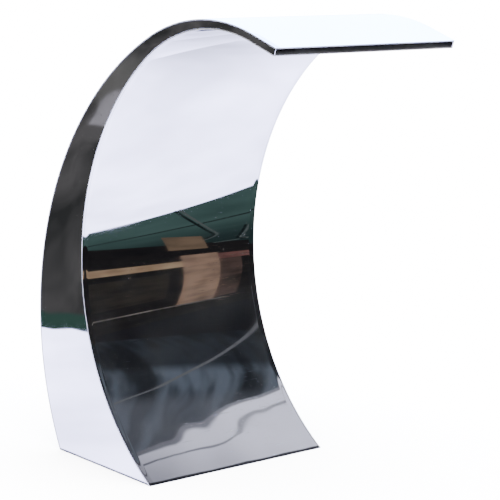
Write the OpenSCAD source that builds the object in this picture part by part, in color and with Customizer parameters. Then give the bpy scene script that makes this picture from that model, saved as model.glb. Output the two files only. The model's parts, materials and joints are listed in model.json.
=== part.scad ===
// Sheet-fall water fountain: a crescent-shaped hollow body of polished stainless sheet.
// Water enters through a threaded socket in the base, rises between the two rolled skins
// and leaves as a flat sheet through the slot at the tip of the overhanging spout.
// Frame: origin on the inlet axis at floor level, +Z up, the spout points along -Y.

/* [Body] */
// Overall width across the rolled skins
body_w = 300; // [250:1:400]
// Overall height from the floor to the top of the crest
body_h = 600; // [500:1:720]
// Depth of the base, from its front edge to its rear edge
base_depth = 195; // [180:1:215]
// Sheet thickness of the front and back skins
skin_t = 1.5; // [1:0.1:2.5]
// Thickness of the two flat side plates
side_t = 2; // [1.5:0.1:3]

/* [Spout] */
// Distance that the lower lip reaches out in front of the base
spout_reach = 201.5; // [180:0.5:220]
// Clear height of the water slot between the two lips
slot_gap = 7.5; // [6:0.1:9]
// Fall of the straight lips towards the mouth, in degrees
spout_slope = 17; // [12:0.5:22]
// Length of the straight lips behind the mouth
lip_len = 42; // [36:1:50]

/* [Crest] */
// Radius of the arc of the front skin under the crest
front_crest_r = 210; // [200:1:220]
// Angle turned by that arc
front_crest_sweep = 57; // [52:0.5:62]
// Radius of the arc of the back skin over the crest
back_crest_r = 250; // [240:1:260]
// Angle turned by that arc
back_crest_sweep = 46; // [42:0.5:50]

/* [Inlet] */
// Distance from the front edge of the base back to the inlet axis
toe_to_inlet = 142; // [136:0.5:148]
// Inside radius of the inlet socket, the crests of a G 2 pipe thread
inlet_r = 28.3; // [20:0.1:32]
// Wall of the inlet socket
socket_wall = 7; // [5:0.5:8]
// Chamfer round the outside of the socket's open end
socket_chamfer = 1.5; // [0.5:0.1:3]
// Height of the underside of the chamber floor above the ground
floor_z = 45; // [40:1:55]
// Thickness of the chamber floor
floor_t = 3; // [2:0.5:5]

/* [Flow parts] */
// Thickness of the round plate that spreads the inlet jet
deflector_t = 2; // [1.5:0.5:3]
// Distance from the socket to the struts, and from the struts to the edge of that plate
deflector_margin = 2; // [1:0.5:4]
// Clear height between the chamber floor and that plate
deflector_lift = 34; // [25:1:38]
// Least clearance between the edge of that plate and the front skin
deflector_clearance = 5; // [3:0.1:8]
// Radius of the four struts that carry it
strut_r = 3; // [2:0.5:4]
// Number of struts
strut_count = 4; // [3:1:6]
// Height of the lower perforated baffle above the ground
baffle_z = 150; // [135:1:170]
// Thickness of both baffles
baffle_t = 1.5; // [1:0.1:2.5]
// Radius of the holes in the lower baffle
baffle_hole_r = 4.5; // [3:0.25:5]
// Distance between the holes in the lower baffle
baffle_pitch = 17; // [15:0.5:20]
// Radius of the holes in the upper baffle
screen_hole_r = 3; // [2:0.25:3.5]
// Distance between the holes in the upper baffle
screen_pitch = 10; // [9:0.5:14]
// Thickness of the ribs between the skins
rib_t = 2; // [1.5:0.1:3]
// Share of the channel width that a rib's window opens
window_share = 0.5; // [0.3:0.05:0.6]
// Number of windows in each rib
window_count = 5; // [3:1:6]
// Radius of the pins that hold the lips apart
spacer_r = 2.5; // [2:0.25:4]
// Distance of those pins behind the mouth
spacer_inset = 34; // [12:1:38]

/* [Anchoring] */
// Width of the two flat bars that are bolted to the deck
bar_w = 30; // [24:1:36]
// Thickness of those bars
bar_t = 5; // [4:0.5:8]
// Front end of the bars, measured back from the front edge of the base
bar_front = 32; // [28:1:40]
// Rear end of the bars, measured back from the front edge of the base
bar_rear = 185; // [170:1:188]
// Distance of each anchor hole from the end of its bar
anchor_inset = 20; // [15:1:30]
// Radius of the anchor holes
anchor_hole_r = 5.5; // [4.5:0.25:6]
// Radius of the bore of each weld nut, an M10 thread at its major diameter
nut_bore_r = 5; // [4:0.25:5]
// Size of the weld nuts across their flats
nut_af = 17; // [15:0.5:19]
// Height of the weld nuts
nut_h = 8; // [6:0.5:10]

/* [Bonding terminal] */
// Side of the square tab that the earth wire is bolted to
lug_size = 24; // [20:1:28]
// Thickness of the tab
lug_t = 3; // [2:0.5:4]
// Radius of the terminal screw, M6
screw_r = 3; // [2.5:0.25:3.5]
// Radial clearance of the tab's hole and of the washers on the screw
screw_clearance = 0.25; // [0.1:0.05:0.5]
// Length of the screw under its head
screw_len = 16; // [14:1:20]
// Size of the screw head and nut across their flats
screw_af = 10; // [8:0.5:11]
// Height of the screw head
head_h = 4; // [3:0.25:5]
// Height of the nut
screw_nut_h = 5; // [4:0.25:6]
// Thickness of each washer
washer_t = 1.6; // [1:0.1:2]
// Outer radius of each washer
washer_r = 6; // [5:0.25:7]

/* [Hidden] */

arc_step = 2;          // largest turn between two points of a drawn arc, in degrees
bore_fn = 96;          // segments of round holes and pins
hex_fn = 6;
cut_over = 1;          // how far a cutting shape runs past what it cuts
reach = 2 * body_h;    // larger than the whole body

inner_w = body_w - 2 * side_t;       // clear width between the side plates
mouth_h = slot_gap + 2 * skin_t;     // outside height of the mouth, square to the lips
lip_dir = [cos(spout_slope), sin(spout_slope)];    // from the mouth back along the lips
lip_down = [sin(spout_slope), -cos(spout_slope)];  // square to the lips, downwards

// The profile lies in the Y-Z plane. Each skin starts at its lip, runs back along the straight
// lip, turns through the crest arc and then follows a main arc down to its edge on the floor.
// The main arc leaves the crest arc in line with it and meets the floor at the base's edge.
// A curve is [lip corner, crest arc centre, main arc centre, crest radius, main radius, angle
// at which the crest arc hands over to the main arc].
crest_start = 90 + spout_slope;
function polar(r, a) = r * [cos(a), sin(a)];
function make_curve(lip, crest_r, sweep, foot_y) =
    let (crest_c = lip + lip_len * lip_dir + crest_r * lip_down,
         turn = crest_start - sweep,
         joint = crest_c + polar(crest_r, turn),
         down = [foot_y, 0] - joint,
         main_r = down * down / (2 * (down * polar(-1, turn))))
    [lip, crest_c, joint - polar(main_r, turn), crest_r, main_r, turn];

// Where the main arc, moved d outwards, meets the height z.
function arc_angle(c, d, z) = asin((z - c[2][1]) / (c[4] + d));
function arc_y(c, d, z) = c[2][0] + (c[4] + d) * cos(arc_angle(c, d, z));

// How far the crest rises above the corner of the upper lip.
crest_rise = (lip_len * lip_dir + back_crest_r * lip_down)[1] + back_crest_r;
base_y0 = -toe_to_inlet;
base_y1 = base_y0 + base_depth;
upper_lip = [base_y0 - spout_reach - mouth_h * lip_down[0], body_h - crest_rise];
lower_lip = upper_lip + mouth_h * lip_down;
back_curve = make_curve(upper_lip, back_crest_r, back_crest_sweep, base_y1);
front_curve = make_curve(lower_lip, front_crest_r, front_crest_sweep, base_y0);

function arc(c, r, a0, a1) =
    let (n = max(1, ceil(abs(a1 - a0) / arc_step)))
    [for (i = [0:n]) c + polar(r, a0 + (a1 - a0) * i / n)];
// Points of a curve moved d outwards, away from the arc centres, from its lip down to height z.
function curve_points(c, d, z) = concat(
    [c[0] - d * lip_down],
    arc(c[1], c[3] + d, crest_start, c[5]),
    [for (i = [1:1:len(arc(c[2], c[4] + d, c[5], arc_angle(c, d, z))) - 1])
        arc(c[2], c[4] + d, c[5], arc_angle(c, d, z))[i]]);
function reversed(v) = [for (i = [len(v) - 1:-1:0]) v[i]];

// The channel between the inner faces of the two skins, from height z up to the mouth.
function channel_points(z) =
    concat(curve_points(back_curve, -skin_t, z), reversed(curve_points(front_curve, skin_t, z)));

// A flat shape drawn in Y-Z, given the width w and centred on the plane x.
module across(x, w) {
    translate([x - w / 2, 0, 0]) rotate([90, 0, 90]) linear_extrude(w) children();
}
module channel(w, z) {
    across(0, w) polygon(channel_points(z));
}
// The channel cut to a slab that is t thick, square to the profile plane, through point p and
// along direction a. The slab's other face is on the side of direction a + 90.
module channel_slab(w, p, a, t) {
    intersection() {
        channel(w, 0);
        translate([0, p[0], p[1]]) rotate([a, 0, 0])
            translate([-w / 2, -reach / 2, 0]) cube([w, reach, t]);
    }
}

// ---- shell -------------------------------------------------------------------------------
side_x = (body_w - side_t) / 2;
module side_plate(x) {
    color("gainsboro") across(x, side_t) polygon(channel_points(0));
}
// A skin lies between its curve moved d0 outwards and its curve moved d1 outwards.
module skin(c, d0, d1) {
    color("gainsboro") across(0, body_w)
        polygon(concat(curve_points(c, d0, 0), reversed(curve_points(c, d1, 0))));
}
module back_skin() {
    skin(back_curve, 0, -skin_t);
}
module front_skin() {
    skin(front_curve, skin_t, 0);
}

// ---- inlet -------------------------------------------------------------------------------
socket_r = inlet_r + socket_wall;
floor_top = floor_z + floor_t;
module chamber_floor() {
    color("silver") difference() {
        intersection() {
            channel(inner_w, 0);
            translate([-body_w / 2, -reach / 2, floor_z]) cube([body_w, reach, floor_t]);
        }
        translate([0, 0, floor_z - cut_over])
            cylinder(r = socket_r, h = floor_t + 2 * cut_over, $fn = bore_fn);
    }
}
module inlet_socket() {
    color("darkgray") rotate_extrude($fn = bore_fn)
        polygon([[inlet_r, 0], [socket_r - socket_chamfer, 0], [socket_r, socket_chamfer],
                 [socket_r, floor_top], [inlet_r, floor_top]]);
}

// ---- flow parts --------------------------------------------------------------------------
// The deflector stands over the inlet on struts, which are set round the socket.
strut_circle_r = socket_r + deflector_margin + strut_r;
deflector_r = strut_circle_r + strut_r + deflector_margin;
deflector_z = floor_top + deflector_lift;
// A plate that would come too near the front skin, which leans over it, is cut straight there.
deflector_y0 = arc_y(front_curve, skin_t, deflector_z + deflector_t) + deflector_clearance;
module deflector_plate() {
    color("silver") intersection() {
        translate([0, 0, deflector_z])
            cylinder(r = deflector_r, h = deflector_t, $fn = bore_fn);
        translate([-reach / 2, deflector_y0, 0]) cube(reach);
    }
}
module deflector_struts() {
    color("silver") for (i = [0:strut_count - 1])
        translate(concat(polar(strut_circle_r, (i + 0.5) * 360 / strut_count), floor_top))
            cylinder(r = strut_r, h = deflector_lift, $fn = bore_fn / 2);
}

// Places its child on a grid of nx by ny points around the origin.
module grid(nx, ny, pitch) {
    for (i = [0:nx - 1], j = [0:ny - 1])
        translate([(i - (nx - 1) / 2) * pitch, (j - (ny - 1) / 2) * pitch, 0]) children();
}
// How many holes of radius r fit in a length at a pitch, with a margin of one radius.
function fit_count(length, pitch, r) = floor((length - 4 * r) / pitch) + 1;

baffle_y0 = arc_y(front_curve, skin_t, baffle_z);
baffle_y1 = arc_y(back_curve, -skin_t, baffle_z);
module lower_baffle() {
    color("silver") difference() {
        intersection() {
            channel(inner_w, 0);
            translate([-body_w / 2, -reach / 2, baffle_z]) cube([body_w, reach, baffle_t]);
        }
        translate([0, (baffle_y0 + baffle_y1) / 2, baffle_z - cut_over])
            grid(fit_count(inner_w, baffle_pitch, baffle_hole_r),
                 fit_count(baffle_y1 - baffle_y0, baffle_pitch, baffle_hole_r), baffle_pitch)
                cylinder(r = baffle_hole_r, h = baffle_t + 2 * cut_over, $fn = bore_fn / 2);
    }
}

// The upper baffle crosses the channel where the front skin's crest arc begins.
screen_a = front_curve[5];
screen_p = front_curve[1] + polar(front_crest_r + skin_t, screen_a);
// Distance from there to the inner face of the back skin, along the baffle.
screen_len = let (c = back_curve, d = screen_p - c[2], u = polar(1, screen_a),
                  b = d * u, r = c[4] - skin_t)
    -b + sqrt(pow(b, 2) - d * d + pow(r, 2));
module upper_baffle() {
    color("silver") difference() {
        channel_slab(inner_w, screen_p, screen_a, baffle_t);
        translate([0, screen_p[0], screen_p[1]]) rotate([screen_a, 0, 0])
            translate([0, screen_len / 2, -cut_over])
                grid(fit_count(inner_w, screen_pitch, screen_hole_r),
                     fit_count(screen_len, screen_pitch, screen_hole_r), screen_pitch)
                    cylinder(r = screen_hole_r, h = baffle_t + 2 * cut_over, $fn = bore_fn / 2);
    }
}

// The ribs tie the skins together between the two baffles and part the channel into equal
// lanes. Their windows let the lanes even out.
lane_count = 4;
rib_pitch = inner_w / lane_count;
function rib_mid(z) = (arc_y(front_curve, skin_t, z) + arc_y(back_curve, -skin_t, z)) / 2;
function rib_depth(z) = arc_y(back_curve, -skin_t, z) - arc_y(front_curve, skin_t, z);
rib_z0 = baffle_z + baffle_t;
rib_z1 = screen_p[1];
module rib(x) {
    color("silver") difference() {
        intersection() {
            across(x, rib_t) polygon(channel_points(0));
            // above the lower baffle
            translate([x - rib_t, -reach / 2, rib_z0]) cube([2 * rib_t, reach, reach]);
            // below the upper baffle
            translate([x, screen_p[0], screen_p[1]]) rotate([screen_a, 0, 0])
                translate([-rib_t, -reach / 2, -reach]) cube([2 * rib_t, reach, reach]);
        }
        for (i = [0:window_count - 1])
            let (z = rib_z0 + (i + 0.6) * (rib_z1 - rib_z0) / (window_count + 0.2))
                translate([x - rib_t / 2 - cut_over, rib_mid(z), z]) rotate([0, 90, 0])
                    cylinder(r = window_share * rib_depth(z) / 2,
                             h = rib_t + 2 * cut_over, $fn = bore_fn);
    }
}

// Pins between the lips, one in front of each rib, keep the slot even along its width.
module lip_spacers() {
    foot = lower_lip - skin_t * lip_down + spacer_inset * lip_dir;
    color("silver") for (x = [-rib_pitch, 0, rib_pitch])
        translate([x, foot[0], foot[1]]) rotate([spout_slope, 0, 0])
            cylinder(r = spacer_r, h = slot_gap, $fn = bore_fn / 2);
}

// ---- anchoring ---------------------------------------------------------------------------
bar_x = (inner_w - bar_w) / 2;
bar_y0 = bar_front - toe_to_inlet;
bar_y1 = bar_rear - toe_to_inlet;
anchor_y = [bar_y0 + anchor_inset, bar_y1 - anchor_inset];
module anchor_bar(x) {
    color("silver") difference() {
        translate([x - bar_w / 2, bar_y0, 0]) cube([bar_w, bar_y1 - bar_y0, bar_t]);
        for (y = anchor_y)
            translate([x, y, -cut_over])
                cylinder(r = anchor_hole_r, h = bar_t + 2 * cut_over, $fn = bore_fn);
    }
}
module hex_nut(af, h, bore) {
    difference() {
        cylinder(r = af / sqrt(3), h = h, $fn = hex_fn);
        translate([0, 0, -cut_over]) cylinder(r = bore, h = h + 2 * cut_over, $fn = bore_fn);
    }
}
module anchor_nuts() {
    color("darkgray") for (x = [-bar_x, bar_x], y = anchor_y)
        translate([x, y, bar_t]) hex_nut(nut_af, nut_h, nut_bore_r);
}

// ---- bonding terminal --------------------------------------------------------------------
// A tab hangs from the chamber floor, midway between the socket and the right-hand bar. The
// screw lies along Y through it.
lug_x = (socket_r + bar_x - bar_w / 2) / 2;
screw_z = floor_z - lug_size / 2;
module along_screw(y) {
    translate([lug_x, y, screw_z]) rotate([-90, 0, 0]) children();
}
module bonding_tab() {
    color("silver") difference() {
        translate([lug_x - lug_size / 2, 0, floor_z - lug_size]) cube([lug_size, lug_t, lug_size]);
        along_screw(-cut_over)
            cylinder(r = screw_r + screw_clearance, h = lug_t + 2 * cut_over, $fn = bore_fn);
    }
}
module bonding_screw() {
    color("silver") union() {
        along_screw(-washer_t - head_h) cylinder(r = screw_af / sqrt(3), h = head_h, $fn = hex_fn);
        along_screw(-washer_t) cylinder(r = screw_r, h = screw_len, $fn = bore_fn);
    }
}
module washer() {
    difference() {
        cylinder(r = washer_r, h = washer_t, $fn = bore_fn);
        translate([0, 0, -cut_over])
            cylinder(r = screw_r + screw_clearance, h = washer_t + 2 * cut_over, $fn = bore_fn);
    }
}
module bonding_washers() {
    color("silver") for (y = [-washer_t, lug_t]) along_screw(y) washer();
}
module bonding_nut() {
    color("goldenrod") along_screw(lug_t + washer_t) hex_nut(screw_af, screw_nut_h, screw_r);
}

side_plate(-side_x);  // side_plate_left
side_plate(side_x);  // side_plate_right
back_skin();
front_skin();
chamber_floor();
inlet_socket();
deflector_plate();
deflector_struts();
lower_baffle();
upper_baffle();
rib(-rib_pitch);  // rib_left
rib(0);  // rib_centre
rib(rib_pitch);  // rib_right
lip_spacers();
anchor_bar(-bar_x);  // anchor_bar_left
anchor_bar(bar_x);  // anchor_bar_right
anchor_nuts();
bonding_tab();
bonding_screw();
bonding_washers();
bonding_nut();
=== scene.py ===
"""Looks of the sheet waterfall fountain: fine mirror-polished sheets in place of the coarser CAD
sheets, procedural steel for every part, a pale floor, and surroundings for the mirrors to show."""
import json
import math

import bmesh
import bpy
from mathutils import Matrix, Vector


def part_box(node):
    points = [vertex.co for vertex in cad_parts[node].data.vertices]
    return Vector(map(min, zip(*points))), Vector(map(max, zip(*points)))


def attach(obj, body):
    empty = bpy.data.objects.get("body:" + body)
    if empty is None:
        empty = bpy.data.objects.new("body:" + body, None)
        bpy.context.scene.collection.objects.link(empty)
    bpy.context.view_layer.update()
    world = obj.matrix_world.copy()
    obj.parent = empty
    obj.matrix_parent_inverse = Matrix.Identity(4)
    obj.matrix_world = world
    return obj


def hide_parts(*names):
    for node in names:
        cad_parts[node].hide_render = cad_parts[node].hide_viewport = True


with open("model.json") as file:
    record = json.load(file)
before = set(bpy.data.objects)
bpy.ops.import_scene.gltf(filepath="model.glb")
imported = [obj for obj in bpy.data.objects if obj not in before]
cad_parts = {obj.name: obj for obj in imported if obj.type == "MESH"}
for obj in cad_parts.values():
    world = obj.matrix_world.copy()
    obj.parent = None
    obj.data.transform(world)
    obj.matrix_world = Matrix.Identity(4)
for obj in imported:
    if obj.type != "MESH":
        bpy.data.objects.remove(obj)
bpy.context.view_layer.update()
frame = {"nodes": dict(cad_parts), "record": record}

# ---- sizes, in metres and degrees: those of the CAD model ----------------------------------
SKIN_T = 0.0015
SIDE_T = 0.002
SLOT_GAP = 0.0075
SPOUT_SLOPE = 17.0
LIP_LEN = 0.042
FRONT_CREST_R, FRONT_CREST_SWEEP = 0.210, 57.0
BACK_CREST_R, BACK_CREST_SWEEP = 0.250, 46.0
BASE_DEPTH = 0.195
SPOUT_REACH = 0.2015
TOE_TO_INLET = 0.142
MOUTH_H = SLOT_GAP + 2 * SKIN_T

HALF_W, _, BODY_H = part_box("back_skin")[1]
BASE_Y0 = -TOE_TO_INLET                 # front edge of the base
BASE_Y1 = BASE_Y0 + BASE_DEPTH          # rear edge of the base
LIP_Y = BASE_Y0 - SPOUT_REACH           # lower lip corner, seen from the side

# ---- finish of the sheets ------------------------------------------------------------------
ARC_STEP = 0.5        # turn between two rows of a sheet's mesh, in degrees
EDGE_R = 0.00035      # rounding of the polished sheet edges
SEAM_DEPTH = 0.0003   # how far the side plates lie inside the skins' edges
SEAM_R = 0.0006       # rounding of the side plates' edges, which leaves a fine groove at the seam
ROUND_STEPS = 2       # faces across a rounded edge
ROUND_OVER = 40       # edges that turn by more than this are rounded, in degrees
SHARP_OVER = 30       # edges of a side plate that turn by more than this are shaded as sharp


# ---- profile -------------------------------------------------------------------------------
def polar(r, a):
    return Vector((r * math.cos(math.radians(a)), r * math.sin(math.radians(a))))


LIP_DIR = polar(1, SPOUT_SLOPE)             # from the mouth back along the lips
LIP_DOWN = polar(1, SPOUT_SLOPE - 90)       # square to the lips, downwards


def make_curve(lip, crest_r, sweep, foot_y):
    """A skin's curve in Y-Z: a straight lip, a crest arc, and a main arc that meets the floor at
    foot_y."""
    crest_c = lip + LIP_LEN * LIP_DIR + crest_r * LIP_DOWN
    turn = 90 + SPOUT_SLOPE - sweep
    joint = crest_c + polar(crest_r, turn)
    down = Vector((foot_y, 0)) - joint
    main_r = down.dot(down) / (2 * down.dot(polar(-1, turn)))
    return {"lip": lip, "crest_c": crest_c, "crest_r": crest_r, "turn": turn,
            "main_c": joint - polar(main_r, turn), "main_r": main_r}


def curve_points(c, out):
    """Points of a curve moved out by this much, away from its arc centres, from lip to floor."""
    crest_r, main_r = c["crest_r"] + out, c["main_r"] + out
    at_floor = math.degrees(math.asin(-c["main_c"].y / main_r))
    points = [c["lip"] - out * LIP_DOWN]
    for centre, r, a0, a1, first in (
        (c["crest_c"], crest_r, 90 + SPOUT_SLOPE, c["turn"], 0),
        (c["main_c"], main_r, c["turn"], at_floor, 1),      # its point 0 ends the crest arc
    ):
        steps = math.ceil(abs(a1 - a0) / ARC_STEP)
        points += [centre + polar(r, a0 + (a1 - a0) * i / steps) for i in range(first, steps + 1)]
    return points


# how far the crest stands above the upper lip
crest_rise = (LIP_LEN * LIP_DIR + BACK_CREST_R * LIP_DOWN).y + BACK_CREST_R
upper_lip = Vector((LIP_Y - MOUTH_H * LIP_DOWN.x, BODY_H - crest_rise))
lower_lip = upper_lip + MOUTH_H * LIP_DOWN
back_curve = make_curve(upper_lip, BACK_CREST_R, BACK_CREST_SWEEP, BASE_Y1)
front_curve = make_curve(lower_lip, FRONT_CREST_R, FRONT_CREST_SWEEP, BASE_Y0)


# ---- meshes --------------------------------------------------------------------------------
def add_object(name, bm):
    mesh = bpy.data.meshes.new(name)
    bm.normal_update()
    bm.to_mesh(mesh)
    bm.free()
    obj = bpy.data.objects.new(name, mesh)
    bpy.context.scene.collection.objects.link(obj)
    return obj


def smooth_all(bm):
    """Turns the faces of a closed mesh outwards and shades them smooth."""
    bmesh.ops.recalc_face_normals(bm, faces=bm.faces)
    for f in bm.faces:
        f.smooth = True


def extruded(name, outline, x0, x1):
    """A closed solid between x0 and x1 whose Y-Z outline is this ring of points."""
    bm = bmesh.new()
    rings = [[bm.verts.new((x, p.x, p.y)) for p in outline] for x in (x0, x1)]
    count = len(outline)
    for i in range(count):
        j = (i + 1) % count
        bm.faces.new((rings[0][i], rings[0][j], rings[1][j], rings[1][i]))
    bm.faces.new(rings[0])
    bm.faces.new(rings[1])
    smooth_all(bm)
    for e in bm.edges:
        if e.calc_face_angle(0) > math.radians(SHARP_OVER):
            e.smooth = False
    return add_object(name, bm)


POLISHED, CUT_EDGE, CHANNEL = 0, 1, 2               # material places of a skin
ROUND_A_ROW = (POLISHED, CUT_EDGE, CHANNEL, CUT_EDGE)   # the four faces between two rows


def strip_solid(name, outer, inner, x0, x1):
    """A sheet between two curves with the same number of points, as quads all round."""
    bm = bmesh.new()
    rows = []
    for p, q in zip(outer, inner):
        rows.append([bm.verts.new((x0, p.x, p.y)), bm.verts.new((x1, p.x, p.y)),
                     bm.verts.new((x1, q.x, q.y)), bm.verts.new((x0, q.x, q.y))])
    for a, b in zip(rows, rows[1:]):
        for i, place in enumerate(ROUND_A_ROW):
            j = (i + 1) % len(ROUND_A_ROW)
            bm.faces.new((a[i], a[j], b[j], b[i])).material_index = place
    for end in (rows[0], rows[-1]):
        bm.faces.new(end).material_index = CUT_EDGE
    smooth_all(bm)
    return add_object(name, bm)


def round_edges(obj, width):
    bevel = obj.modifiers.new("rounded_edges", "BEVEL")
    bevel.width = width
    bevel.segments = ROUND_STEPS
    bevel.limit_method = "ANGLE"
    bevel.angle_limit = math.radians(ROUND_OVER)
    bevel.harden_normals = True


def matched(c, out_a, out_b):
    """The same curve at two offsets, with as many points on each."""
    a, b = curve_points(c, out_a), curve_points(c, out_b)
    while len(a) != len(b):
        longer = a if len(a) > len(b) else b
        del longer[-2]
    return a, b


def make_skin(name, curve, out_a, out_b):
    a, b = matched(curve, out_a, out_b)
    obj = strip_solid(name, a, b, -HALF_W, HALF_W)
    round_edges(obj, EDGE_R)
    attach(obj, "root")
    return obj


def make_side(name, x_out, x_in):
    back = curve_points(back_curve, -SKIN_T)
    front = curve_points(front_curve, SKIN_T)
    obj = extruded(name, back + front[::-1], x_out, x_in)
    round_edges(obj, SEAM_R)
    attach(obj, "root")
    return obj


skin_back = make_skin("skin_back_polished", back_curve, 0, -SKIN_T)
skin_front = make_skin("skin_front_polished", front_curve, 0, SKIN_T)
side_x = HALF_W - SEAM_DEPTH
side_left = make_side("side_left_polished", -side_x, -HALF_W + SIDE_T)
side_right = make_side("side_right_polished", side_x, HALF_W - SIDE_T)
for piece, node, slot in ((skin_back, "back_skin", "polished_skin_sheet"),
                          (skin_front, "front_skin", "polished_skin_sheet"),
                          (side_left, "side_plate_left", "polished_side_sheet"),
                          (side_right, "side_plate_right", "polished_side_sheet")):
    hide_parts(node)


# ---- node trees ----------------------------------------------------------------------------
class Nodes:
    """Short hand for building a node tree. A value may be a number, a colour of three numbers or
    the output of another node."""

    def __init__(self, tree):
        self.tree = tree

    def feed(self, socket, value):
        if isinstance(value, bpy.types.NodeSocket):
            self.tree.links.new(value, socket)
        elif socket.type == "RGBA":
            socket.default_value = (*value, 1.0)
        else:
            socket.default_value = value

    def add(self, kind, inputs=None, **settings):
        """A new node with these settings and these values at its inputs."""
        node = self.tree.nodes.new(kind)
        for key, value in settings.items():
            setattr(node, key, value)
        for key, value in (inputs or {}).items():
            self.feed(node.inputs[key], value)
        return node

    def place(self):
        """The seen point in the object's own frame, which is the frame of the whole model."""
        return self.add("ShaderNodeTexCoord").outputs["Object"]

    def split(self, vector):
        """The X, Y and Z of a vector."""
        node = self.add("ShaderNodeSeparateXYZ", {"Vector": vector})
        return [node.outputs[axis] for axis in "XYZ"]

    def join(self, x, y):
        return self.add("ShaderNodeCombineXYZ", {"X": x, "Y": y}).outputs["Vector"]

    def measure(self, op, a, b):
        """The number that two vectors give, such as DOT_PRODUCT or DISTANCE."""
        node = self.add("ShaderNodeVectorMath", {0: a, 1: b}, operation=op)
        return node.outputs["Value"]

    def noise(self, coords, scale, detail=2.0, rough=0.5, distort=0.0):
        return self.add("ShaderNodeTexNoise", {
            "Vector": coords, "Scale": scale, "Detail": detail, "Roughness": rough,
            "Distortion": distort}).outputs["Fac"]

    def remap(self, value, lo, hi, to_lo, to_hi, smooth=False):
        """to_lo where the value is lo, to_hi where it is hi, and between the two in between."""
        return self.add("ShaderNodeMapRange", {
            "Value": value, "From Min": lo, "From Max": hi, "To Min": to_lo, "To Max": to_hi},
            interpolation_type="SMOOTHSTEP" if smooth else "LINEAR").outputs["Result"]

    def math(self, op, *values):
        return self.add("ShaderNodeMath", dict(enumerate(values)), operation=op).outputs[0]

    def off(self, value, middle):
        """How far a value is from this middle, on either side."""
        return self.math("ABSOLUTE", self.math("SUBTRACT", value, middle))

    def stretched(self, coords, scale):
        return self.add("ShaderNodeMapping", {"Vector": coords, "Scale": scale}).outputs["Vector"]

    def mix(self, factor, a, b):
        """Colour a where the factor is 0, b where it is 1."""
        node = self.add("ShaderNodeMix", {"Factor": factor}, data_type="RGBA")
        for name, value in (("A", a), ("B", b)):
            self.feed([i for i in node.inputs if i.name == name and i.type == "RGBA"][0], value)
        return [o for o in node.outputs if o.type == "RGBA"][0]

    def bump(self, height, distance, strength=1.0, under=None):
        inputs = {"Height": height, "Distance": distance, "Strength": strength}
        if under is not None:
            inputs["Normal"] = under
        return self.add("ShaderNodeBump", inputs).outputs["Normal"]


def scaled(colour, share):
    return tuple(share * c for c in colour)


def new_material(name):
    mat = bpy.data.materials.new(name)
    mat.use_nodes = True
    return mat, Nodes(mat.node_tree), mat.node_tree.nodes["Principled BSDF"]


# ---- metals: scales are in features a metre, heights and depths in metres -------------------
SMUDGE_SCALE, DUST_SCALE, DUST_PATCHES, SCRATCH_PATCHES = 14, 140, 9, 5
SCRATCH_STRETCH = (20, 700, 700)      # the scratches run across the sheet
CLEAN_ROUGH, SMUDGED_ROUGH = 0.012, 0.05
MARK_ROUGH, MARK_DEPTH = 0.22, 0.00001      # marks are the dust and the scratches
MARK_COLOUR, MARK_SHARE = (0.62, 0.62, 0.63), 0.3
SMUDGE_TINT = 0.94                    # how bright a smudge is against clean metal
# painted shade along the foot: a dark band that stands for the floor's contact shadow reflected in
# the sheet
FOOT_SHADE_FULL, FOOT_SHADE_GONE = 0.0010, 0.0020     # heights between which the painted shade at the foot ends
FOOT_SHADE_WANDER = 0.0022                 # how much higher the painted shade reaches under a smudge
FOOT_SHADE_COLOUR, FOOT_SHADE_SHARE = (0.02, 0.02, 0.022), 0.95
WELD_X = HALF_W - SIDE_T - 0.0006     # where the side plates are welded on behind a skin
WELD_NEAR, WELD_FAR = 0.0003, 0.0007  # the heat tint is full, and gone, this far from there
WELD_COLOUR = (0.22, 0.22, 0.24)
WAVY_BELOW, CALM_ABOVE = 0.03, 0.095  # heights between which the foot's waves die out
PULL_WIDTH, PULL_DEPTH = 0.010, 0.00025     # how the welds draw in the edges of a sheet


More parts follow.
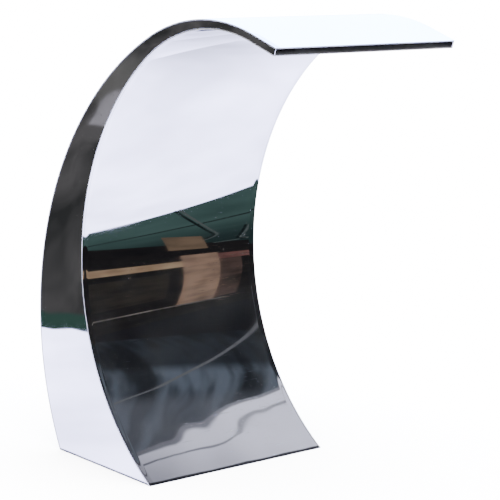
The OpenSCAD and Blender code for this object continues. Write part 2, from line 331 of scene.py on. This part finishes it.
def polished_steel(name, tint, waves, foot_waves, wave_scale):
    """Mirror-polished stainless: rolling waves, polishing lines, smudges, dust, and painted shade
    along the foot that stands for the floor's contact shadow seen in the sheet.
    waves and foot_waves are how deep the waves are, well above the foot and at it."""
    mat, n, shader = new_material(name)
    coords = n.place()
    x, _, z = n.split(coords)
    cloud = n.noise(coords, SMUDGE_SCALE, detail=4, rough=0.6)
    # specks of dust and short scratches, each only here and there
    dots = n.add("ShaderNodeTexVoronoi", {"Vector": coords, "Scale": DUST_SCALE})
    patchy = n.remap(n.noise(coords, DUST_PATCHES), 0.55, 0.62, 0, 1)
    speck = n.math("MULTIPLY", n.remap(dots.outputs["Distance"], 0.05, 0.10, 1, 0), patchy)
    lines = n.noise(n.stretched(coords, SCRATCH_STRETCH), 1.0, detail=3, rough=0.7)
    patchy = n.remap(n.noise(coords, SCRATCH_PATCHES), 0.5, 0.6, 0, 1)
    scratch = n.math("MULTIPLY", n.remap(lines, 0.66, 0.72, 0, 1), patchy)
    mark = n.math("MAXIMUM", speck, scratch)
    # the painted shade at the foot reaches higher where the smudges are strong
    foot = n.math("MULTIPLY_ADD", cloud, -FOOT_SHADE_WANDER, z)
    foot = n.remap(foot, FOOT_SHADE_FULL, FOOT_SHADE_GONE, 1, 0)
    rough = n.remap(cloud, 0.35, 0.75, CLEAN_ROUGH, SMUDGED_ROUGH)
    rough = n.math("MULTIPLY_ADD", mark, MARK_ROUGH, rough)
    colour = n.mix(n.remap(cloud, 0.4, 0.7, 0, 0.5), tint, scaled(tint, SMUDGE_TINT))
    colour = n.mix(n.math("MULTIPLY", mark, MARK_SHARE), colour, MARK_COLOUR)
    # painted shade at the foot, for the reflected contact shadow
    colour = n.mix(n.math("MULTIPLY", foot, FOOT_SHADE_SHARE), colour, FOOT_SHADE_COLOUR)
    # heat tint where a side plate is welded on behind the sheet
    out_x = n.math("ABSOLUTE", x)
    weld = n.remap(n.off(out_x, WELD_X), WELD_NEAR, WELD_FAR, 1, 0)
    weld = n.math("MULTIPLY", weld, n.remap(cloud, 0.3, 0.6, 0.15, 0.75))
    colour = n.mix(weld, colour, WELD_COLOUR)
    # waves of the sheet, deeper near the foot, and the weld's pull along both edges
    depth = n.remap(z, WAVY_BELOW, CALM_ABOVE, foot_waves, waves, smooth=True)
    swell = n.math("MULTIPLY", n.noise(coords, wave_scale, detail=1.2, rough=0.4), depth)
    edge = n.remap(out_x, HALF_W - PULL_WIDTH, HALF_W, 0, -PULL_DEPTH, smooth=True)
    shape = n.bump(n.math("ADD", swell, edge), 1.0)
    n.feed(shader.inputs["Metallic"], 1.0)
    n.feed(shader.inputs["Roughness"], rough)
    n.feed(shader.inputs["Base Color"], colour)
    n.feed(shader.inputs["Normal"], n.bump(mark, MARK_DEPTH, under=shape))
    return mat


STAIN_SCALE, STAIN_TINT = 22, 0.72
GRAIN_ROUGH, GRAIN_DEPTH, GRAIN_STRENGTH = 0.12, 0.0001, 0.6


def mill_steel(name, tint, rough, grain):
    """Unpolished metal whose roughness lies in this range, with stains, and with a grain of this
    many features a metre in X, Y and Z."""
    mat, n, shader = new_material(name)
    coords = n.place()
    stain = n.noise(coords, STAIN_SCALE, detail=5, rough=0.6)
    streak = n.noise(n.stretched(coords, grain), 1.0, detail=3, rough=0.6)
    stained_rough = n.remap(stain, 0.3, 0.75, *rough)
    n.feed(shader.inputs["Metallic"], 1.0)
    n.feed(shader.inputs["Roughness"], n.math("MULTIPLY_ADD", streak, GRAIN_ROUGH, stained_rough))
    n.feed(shader.inputs["Base Color"], n.mix(stain, tint, scaled(tint, STAIN_TINT)))
    n.feed(shader.inputs["Normal"], n.bump(streak, GRAIN_DEPTH, GRAIN_STRENGTH))
    return mat


skin_steel = polished_steel("polished_steel_skin", tint=(0.93, 0.93, 0.945),
                            waves=0.00012, foot_waves=0.0040, wave_scale=6.5)
side_steel = polished_steel("polished_steel_side", tint=(0.90, 0.895, 0.915),
                            waves=0.00050, foot_waves=0.00045, wave_scale=10.0)
edge_steel = mill_steel("ground_sheet_edge", tint=(0.80, 0.80, 0.81),
                        rough=(0.25, 0.4), grain=(300, 40, 40))
# the channel's dark tint is painted shade: far darker than the mill steel inside, it stands for
# the shade in the narrow mouth slot between the skins
channel_steel_painted_shade = mill_steel("channel_steel_painted_shade", tint=(0.17, 0.17, 0.19),
                           rough=(0.3, 0.5), grain=(8, 300, 300))
inner_steel = mill_steel("mill_steel", tint=(0.50, 0.50, 0.51),
                         rough=(0.28, 0.5), grain=(8, 300, 300))
turned_steel = mill_steel("turned_steel", tint=(0.58, 0.58, 0.59),
                          rough=(0.2, 0.36), grain=(300, 300, 12))
brass = mill_steel("turned_brass", tint=(0.62, 0.43, 0.17),
                   rough=(0.2, 0.4), grain=(300, 12, 300))

for piece in (skin_back, skin_front):
    for mat in (skin_steel, edge_steel, channel_steel_painted_shade):     # POLISHED, CUT_EDGE, CHANNEL
        piece.data.materials.append(mat)
for piece in (side_left, side_right):
    piece.data.materials.append(side_steel)
by_slot = {"mill_finish_steel": inner_steel, "turned_steel": turned_steel, "brass": brass,
           "polished_skin_sheet": skin_steel, "polished_side_sheet": side_steel}
for part in frame["record"]["subparts"]:
    for slot in frame["nodes"][part["node"]].material_slots:
        slot.material = by_slot[part["material_slot"]]


# ---- stage ---------------------------------------------------------------------------------
def quad(name, corners):
    bm = bmesh.new()
    bm.faces.new([bm.verts.new(c) for c in corners])
    return add_object(name, bm)


def level_square(half, z):
    """The corners of a level square round the origin."""
    return [(x, y, z) for x, y in ((-half, -half), (half, -half), (half, half), (-half, half))]


# the floor that the camera sees; the mirrors see the ground below it
FLOOR_HALF, FLOOR_Z = 12.0, -0.0004
FLOOR_COLOUR, FLOOR_ROUGH = (0.9, 0.9, 0.905), 0.8
floor = quad("floor", level_square(FLOOR_HALF, FLOOR_Z))
floor.visible_glossy = False
floor_mat, floor_nodes, floor_shader = new_material("pale_floor")
floor_nodes.feed(floor_shader.inputs["Base Color"], FLOOR_COLOUR)
floor_nodes.feed(floor_shader.inputs["Roughness"], FLOOR_ROUGH)
floor.data.materials.append(floor_mat)

# What the mirrors see: a pale strip runs under the object, with dark ground on its left, and a
# green mat, a timber bench and a ceiling on its right. These props are lit by themselves and show
# only in reflections. They are placed by u, to the right of the strip's middle, v, along the
# strip, and z. Colours are how much light they give, and may be over 1.
STRIP_HEADING = 28.6      # degrees from +Y towards +X
STRIP_RIGHT, STRIP_LEFT = 0.85, 0.79
STRIP_LIGHT = (5.0, 5.1, 7.9)
BACK_LIGHT = (9.0, 13.0, 26.0)      # the bright back of the room


def axes_of(heading):
    """The level directions to the right of a heading and along it; 0 is +Y, 90 is +X."""
    h = math.radians(heading)
    return Vector((math.cos(h), -math.sin(h), 0)), Vector((math.sin(h), math.cos(h), 0))


def at_strip(u, v, z):
    """The place that lies at u, v and this height."""
    along_u, along_v = axes_of(STRIP_HEADING)
    at = u * along_u + v * along_v
    return at.x, at.y, z


def glow(name, build):
    """A stage material that gives light; build makes its colour in a node tree."""
    mat = bpy.data.materials.new(name)
    mat.use_nodes = True
    mat.node_tree.nodes.clear()
    n = Nodes(mat.node_tree)
    emit = n.add("ShaderNodeEmission", {"Color": build(n)})
    n.add("ShaderNodeOutputMaterial", {"Surface": emit.outputs[0]})
    return mat


def prop(obj, name, build):
    """Makes obj a stage prop that only reflections show."""
    obj.data.materials.append(glow(name, build))
    for flag in ("visible_camera", "visible_diffuse", "visible_shadow", "visible_transmission"):
        setattr(obj, flag, False)


def along(n, coords, heading):
    """How far a place lies to the right of a heading and along it."""
    return [n.measure("DOT_PRODUCT", coords, axis) for axis in axes_of(heading)]


# ---- the ground that the mirrors see -------------------------------------------------------
GROUND_HALF, GROUND_Z = 40.0, -0.0008
STRIP_EDGE = 0.004        # half the width over which the strip's edges fade
CLOUD_SCALE, CLOUD_DIM = 4.0, 0.70        # clouds a metre, and how bright the duller ones are
SHADE_AT = (0.42, 0.26, 0)                # middle of the object's shade, in X, Y and Z
SHADE_FULL, SHADE_GONE = 0.08, 0.42       # how far from there it is full, and gone
SHADE_SHARE = 0.75
SHADE_COLOUR = (0.7, 0.73, 0.95)

LEFT_SIGHT = -41.8        # heading in which the left side plate reflects the ground
STAIN_ACROSS, STAIN_ALONG = 9.0, 0.9      # stains a metre, across and along that sight
STAIN_DARK, STAIN_PALE = (0.030, 0.031, 0.032), (0.098, 0.096, 0.098)
SPOT_AT, SPOT_COLOUR = (-3.1, 3.7, 0), (0.17, 0.17, 0.165)      # a pale spot, and its middle
SPOT_FULL, SPOT_GONE, SPOT_SHARE = 0.3, 1.1, 0.6
CRATE_SIDE, CRATE_AHEAD = 0.140, 3.95     # the middle of the crate, across and along the sight
CRATE_FULL, CRATE_GONE, CRATE_SHARE = 0.36, 0.42, 0.85    # half its length, and how it fades
CRATE_SLIM = 12.0         # how many times longer than wide it is
CRATE_COLOUR = (0.36, 0.35, 0.39)
LEFT_BORDER = 0.10        # width of the green border on the left
BORDER_EDGE = 0.03        # over which the border fades
BORDER_GREEN = (0.035, 0.075, 0.062)

MAT_NEAR, MAT_FAR = (0.060, 0.105, 0.100), (0.022, 0.045, 0.040)
MAT_FAR_U = 2.0           # where the mat is darkest
BLOTCH_SCALE, BLOTCH_SHARE, BLOTCH_COLOUR = 5.0, 0.6, (0.025, 0.05, 0.047)
MAT_SEAM_U = 1.15         # a seam in the green mat
MAT_SEAM_FULL, MAT_SEAM_GONE, MAT_SEAM_SHARE = 0.006, 0.014, 0.9
MAT_SEAM_COLOUR = (0.008, 0.009, 0.010)
BEYOND_WIDTH, BEYOND_SHARE = 0.5, 0.6     # how the mat darkens to the right of its seam
BEYOND_COLOUR = (0.010, 0.014, 0.018)
BENCH_V = -0.71           # where the bench stands along the strip
# painted shade: the ground under the bench is dark
SHADE_UNDER_BENCH = (0.01, 0.01, 0.01)
FINE_EDGE = 0.01          # over which the ground or ceiling changes at other edges


def dark_ground(n, coords):
    """The dark ground on the left, with stains stretched along the way the side plate looks at
    it, a pale spot and a crate."""
    side, ahead = along(n, coords, LEFT_SIGHT)
    mottle = n.join(n.math("MULTIPLY", side, STAIN_ACROSS), n.math("MULTIPLY", ahead, STAIN_ALONG))
    stains = n.remap(n.noise(mottle, 1.0, detail=3, distort=0.6), 0.36, 0.64, 0, 1)
    colour = n.mix(stains, STAIN_DARK, STAIN_PALE)
    from_spot = n.measure("DISTANCE", coords, SPOT_AT)
    spot = n.remap(from_spot, SPOT_FULL, SPOT_GONE, SPOT_SHARE, 0, smooth=True)
    colour = n.mix(spot, colour, SPOT_COLOUR)
    crate = n.math("MAXIMUM", n.math("MULTIPLY", n.off(side, CRATE_SIDE), CRATE_SLIM),
                   n.off(ahead, CRATE_AHEAD))
    return n.mix(n.remap(crate, CRATE_FULL, CRATE_GONE, CRATE_SHARE, 0), colour, CRATE_COLOUR)


def mat_colour(n, u, coords):
    """The green mat: paler by the strip, blotchy, and darker beyond a seam."""
    colour = n.mix(n.remap(u, STRIP_RIGHT, MAT_FAR_U, 0, 1), MAT_NEAR, MAT_FAR)
    blotches = n.remap(n.noise(coords, BLOTCH_SCALE, detail=4), 0.35, 0.7, 0, BLOTCH_SHARE)
    colour = n.mix(blotches, colour, BLOTCH_COLOUR)
    seam = n.remap(n.off(u, MAT_SEAM_U), MAT_SEAM_FULL, MAT_SEAM_GONE, MAT_SEAM_SHARE, 0)
    colour = n.mix(seam, colour, MAT_SEAM_COLOUR)
    beyond = n.remap(u, MAT_SEAM_U, MAT_SEAM_U + BEYOND_WIDTH, 0, BEYOND_SHARE)
    return n.mix(beyond, colour, BEYOND_COLOUR)


def strip_colour(n, coords):
    """The strip: cloudy, and dimmer where the object keeps the light off it."""
    clouds = n.remap(n.noise(coords, CLOUD_SCALE, detail=2.5), 0.35, 0.65, 0, 1)
    colour = n.mix(clouds, STRIP_LIGHT, scaled(STRIP_LIGHT, CLOUD_DIM))
    from_shade = n.measure("DISTANCE", coords, SHADE_AT)
    shade = n.remap(from_shade, SHADE_FULL, SHADE_GONE, SHADE_SHARE, 0, smooth=True)
    return n.mix(shade, colour, SHADE_COLOUR)


def ground_colour(n):
    coords = n.place()
    u, v = along(n, coords, STRIP_HEADING)
    to_left, border_end = n.math("MULTIPLY", u, -1.0), STRIP_LEFT + LEFT_BORDER
    past_border = n.remap(to_left, border_end, border_end + BORDER_EDGE, 0, 1)
    left = n.mix(past_border, BORDER_GREEN, dark_ground(n, coords))
    past_bench = n.remap(v, BENCH_V - FINE_EDGE, BENCH_V, 1, 0)
    right = n.mix(past_bench, mat_colour(n, u, coords), SHADE_UNDER_BENCH)
    off_strip = n.mix(n.remap(u, 0, FINE_EDGE, 0, 1), left, right)
    half = (STRIP_RIGHT + STRIP_LEFT) / 2
    from_middle = n.off(u, (STRIP_RIGHT - STRIP_LEFT) / 2)
    outside = n.remap(from_middle, half - STRIP_EDGE, half + STRIP_EDGE, 0, 1)
    return n.mix(outside, strip_colour(n, coords), off_strip)


ground = quad("reflected_ground", level_square(GROUND_HALF, GROUND_Z))
prop(ground, "reflected_ground", ground_colour)

# ---- the bench, hose and cable that the mirrors see ----------------------------------------
TIMBER_STRETCH, TIMBER_STAINS = (4, 4, 22), 6


def bench_panel(name, u, z, light, dark, forward=0.0, rise=0.0):
    """An upright panel of the bench's front, from one u and z to another, with timber streaks
    between two colours. It stands forward of the bench, and its right end rises, by this much."""
    v = BENCH_V + forward
    corners = [at_strip(u[0], v, z[0]), at_strip(u[1], v, z[0] + rise),
               at_strip(u[1], v, z[1] + rise), at_strip(u[0], v, z[1])]

    def timber(n):
        coords = n.place()
        grain = n.noise(n.stretched(coords, TIMBER_STRETCH), 1.0, detail=3)
        stain = n.noise(coords, TIMBER_STAINS)
        return n.mix(n.remap(n.math("ADD", grain, stain), 0.6, 1.15, 0, 1), dark, light)

    prop(quad(name, corners), name, timber)


bench_panel("bench_back", u=(0.9, 4.5), z=(-0.01, 0.72),
            light=(0.013, 0.012, 0.013), dark=(0.007, 0.007, 0.009))
bench_panel("bench_plank", u=(1.31, 1.53), z=(0.0, 0.105), forward=0.17,
            light=(0.15, 0.105, 0.072), dark=(0.075, 0.055, 0.04))
bench_panel("bench_rail", u=(1.0, 1.93), z=(0.172, 0.226), forward=0.02,
            light=(0.32, 0.23, 0.15), dark=(0.17, 0.11, 0.07))
bench_panel("bench_drawer", u=(1.15, 1.66), z=(0.27, 0.50), forward=0.01,
            light=(0.024, 0.021, 0.019), dark=(0.008, 0.008, 0.009))
bench_panel("bench_post", u=(1.70, 1.93), z=(0.12, 0.595), forward=0.03,
            light=(0.25, 0.165, 0.12), dark=(0.11, 0.075, 0.058))
bench_panel("bench_side", u=(1.93, 2.14), z=(0.16, 0.595), forward=0.01,
            light=(0.060, 0.040, 0.036), dark=(0.018, 0.014, 0.013))
bench_panel("bench_box", u=(1.93, 2.45), z=(0.13, 0.19), forward=0.02,
            light=(0.13, 0.06, 0.055), dark=(0.05, 0.03, 0.03))
bench_panel("bench_edge", u=(1.05, 2.0), z=(0.535, 0.547), forward=0.04, rise=0.06,
            light=(0.13, 0.12, 0.11), dark=(0.03, 0.03, 0.03))


def loose_line(name, points, thickness, colour):
    """A hose or cable that lies or hangs on the stage, through points of u, v and z."""
    data = bpy.data.curves.new(name, "CURVE")
    data.dimensions = "3D"
    data.bevel_depth = thickness / 2
    spline = data.splines.new("BEZIER")
    spline.bezier_points.add(len(points) - 1)
    for knot, point in zip(spline.bezier_points, points):
        knot.co = at_strip(*point)
        knot.handle_left_type = knot.handle_right_type = "AUTO"
    obj = bpy.data.objects.new(name, data)
    bpy.context.scene.collection.objects.link(obj)
    prop(obj, name, lambda n: colour)


HOSE_Z, HOSE_T, CABLE_T = 0.004, 0.006, 0.018
HOSE_SHADOW_V = -0.009            # how far along the strip its shadow lies from the hose
HOSE = ((0.84, -0.28), (1.10, -0.36), (1.50, -0.49), (2.05, -0.66),     # out, in u and v
        (1.90, -0.59), (1.65, -0.48), (1.40, -0.37))                    # and back
CABLE = ((2.20, -0.66, 0.55), (2.40, -0.66, 0.90), (2.45, -0.62, 1.35),     # up from the bench
         (1.95, -0.49, 1.46), (1.40, -0.38, 1.47))                          # and under the ceiling
for name, shift, colour in (("hose_shadow", HOSE_SHADOW_V, (0.008, 0.012, 0.013)),
                            ("hose", 0.0, (0.075, 0.09, 0.09))):
    loose_line(name, [(u, v + shift, HOSE_Z) for u, v in HOSE], HOSE_T, colour)
loose_line("hanging_cable", CABLE, CABLE_T, (0.11, 0.115, 0.13))

# ---- world ---------------------------------------------------------------------------------
WHITE_STRENGTH = 20.0
ROOM_DARK, ROOM_OVERHEAD = (0.009, 0.009, 0.012), (0.10, 0.10, 0.13)
BACK_AZIMUTH, BACK_ELEVATION = 48, 10       # where the back is brightest, in degrees
BACK_START, BACK_BRIGHT = 0.55, 0.8         # cosines off there at which it starts and is full


def light_world():
    """White to the camera and the floor; to mirrors a dark room, a little lighter overhead, with
    a bright back."""
    world = bpy.data.worlds.new("studio")
    bpy.context.scene.world = world
    world.use_nodes = True
    world.node_tree.nodes.clear()
    n = Nodes(world.node_tree)
    direction = n.add("ShaderNodeTexCoord").outputs["Generated"]
    _, _, up = n.split(direction)
    room = n.mix(n.remap(up, 0.4, 1.0, 0, 1, smooth=True), ROOM_DARK, ROOM_OVERHEAD)
    elevation = math.radians(BACK_ELEVATION)
    _, ahead = axes_of(BACK_AZIMUTH)
    to_back = ahead * math.cos(elevation) + Vector((0, 0, math.sin(elevation)))
    back = n.measure("DOT_PRODUCT", direction, to_back)
    room = n.mix(n.remap(back, BACK_START, BACK_BRIGHT, 0, 1, smooth=True), room, BACK_LIGHT)
    dim = n.add("ShaderNodeBackground", {"Color": room})
    white = n.add("ShaderNodeBackground", {"Color": (1, 1, 1), "Strength": WHITE_STRENGTH})
    path = n.add("ShaderNodeLightPath")
    pick = n.add("ShaderNodeMixShader", {0: path.outputs["Is Glossy Ray"],
                                         1: white.outputs[0], 2: dim.outputs[0]})
    n.add("ShaderNodeOutputWorld", {"Surface": pick.outputs[0]})


light_world()

# ---- the ceiling that the mirrors see ------------------------------------------------------
CEILING_H = 1.5
CEILING_U, CEILING_V = (0.3, 3.2), (-1.6, 3.0)
CEILING_EDGE_V = 0.05     # the ceiling is dim in front of this edge and pale behind it
EDGE_TRIM, TRIM_FADE, TRIM_DIM = 0.03, 0.015, 0.25        # a dull trim behind that edge
LINE_V, LINE_FULL, LINE_GONE, LINE_DIM = 0.14, 0.006, 0.014, 0.35     # a thin line behind it
PALE_CEILING = (0.95, 0.96, 1.18)
BACK_FROM, BACK_FULL = 0.75, 1.2          # where the pale part takes on the bright back's light
ROW_SLANT = 0.65          # how the rows of windows run across u and v
ROW_SCALE, ROW_ALONG = 11, 0.06
WINDOW_DARK, WINDOW_PALE = (0.008, 0.009, 0.012), (0.095, 0.115, 0.150)
HAZE_COLOUR, HAZE_SHARE = (0.115, 0.125, 0.155), 0.55     # over the windows' left end


def pale_ceiling(n, u, v):
    """The pale part, brighter to the right and towards the back, with a trim and a line."""
    pale = n.remap(u, 0.75, 1.45, 0.26, 0.95, smooth=True)
    trim_end = CEILING_EDGE_V + EDGE_TRIM
    trim = n.remap(v, trim_end, trim_end + TRIM_FADE, TRIM_DIM, 1)
    line = n.remap(n.off(v, CEILING_EDGE_V + LINE_V), LINE_FULL, LINE_GONE, LINE_DIM, 1)
    pale = n.math("MULTIPLY", n.math("MULTIPLY", pale, trim), line)
    colour = n.mix(pale, (0, 0, 0), PALE_CEILING)
    return n.mix(n.remap(v, BACK_FROM, BACK_FULL, 0, 1, smooth=True), colour, BACK_LIGHT)


def dim_ceiling(n, u, v):
    """The dim part in front, with rows of windows that end on the right."""
    across = n.join(n.math("MULTIPLY_ADD", u, ROW_SLANT, v), n.math("MULTIPLY", u, ROW_ALONG))
    rows = n.remap(n.noise(across, ROW_SCALE, detail=2.5), 0.40, 0.64, 0.08, 1, smooth=True)
    rows = n.math("MULTIPLY", rows, n.remap(u, 2.3, 2.05, 0.15, 1, smooth=True))
    colour = n.mix(rows, WINDOW_DARK, WINDOW_PALE)
    return n.mix(n.remap(u, 1.75, 1.45, 0, HAZE_SHARE, smooth=True), colour, HAZE_COLOUR)


def ceiling_colour(n):
    u, v = along(n, n.place(), STRIP_HEADING)
    behind = n.remap(v, CEILING_EDGE_V, CEILING_EDGE_V + FINE_EDGE, 0, 1)
    return n.mix(behind, dim_ceiling(n, u, v), pale_ceiling(n, u, v))


ceiling = quad("reflected_ceiling", [at_strip(CEILING_U[i], CEILING_V[j], CEILING_H)
                                     for i, j in ((0, 0), (1, 0), (1, 1), (0, 1))])
prop(ceiling, "reflected_ceiling", ceiling_colour)

# ---- camera --------------------------------------------------------------------------------
CAMERA_AT = Vector((-1.6578, -1.9995, 0.7755))
CAMERA_TURN, CAMERA_DROP, CAMERA_ROLL = 41.84, 10.99, 2.18   # degrees right, down and over
LENS, SENSOR = 141.0, 36          # in millimetres
CLIP_END = 200                    # in metres


def add_camera():
    level, ahead = axes_of(CAMERA_TURN)
    drop, roll = math.radians(CAMERA_DROP), math.radians(CAMERA_ROLL)
    forward = ahead * math.cos(drop) - Vector((0, 0, math.sin(drop)))
    above = level.cross(forward)
    right = level * math.cos(roll) + above * math.sin(roll)
    upward = above * math.cos(roll) - level * math.sin(roll)
    lens = bpy.data.cameras.new("camera")
    lens.lens = LENS
    lens.sensor_width = SENSOR
    lens.clip_end = CLIP_END
    camera = bpy.data.objects.new("camera", lens)
    turned = Matrix((right, upward, -forward)).transposed().to_4x4()
    camera.matrix_world = Matrix.Translation(CAMERA_AT) @ turned
    bpy.context.scene.collection.objects.link(camera)
    bpy.context.scene.camera = camera


add_camera()
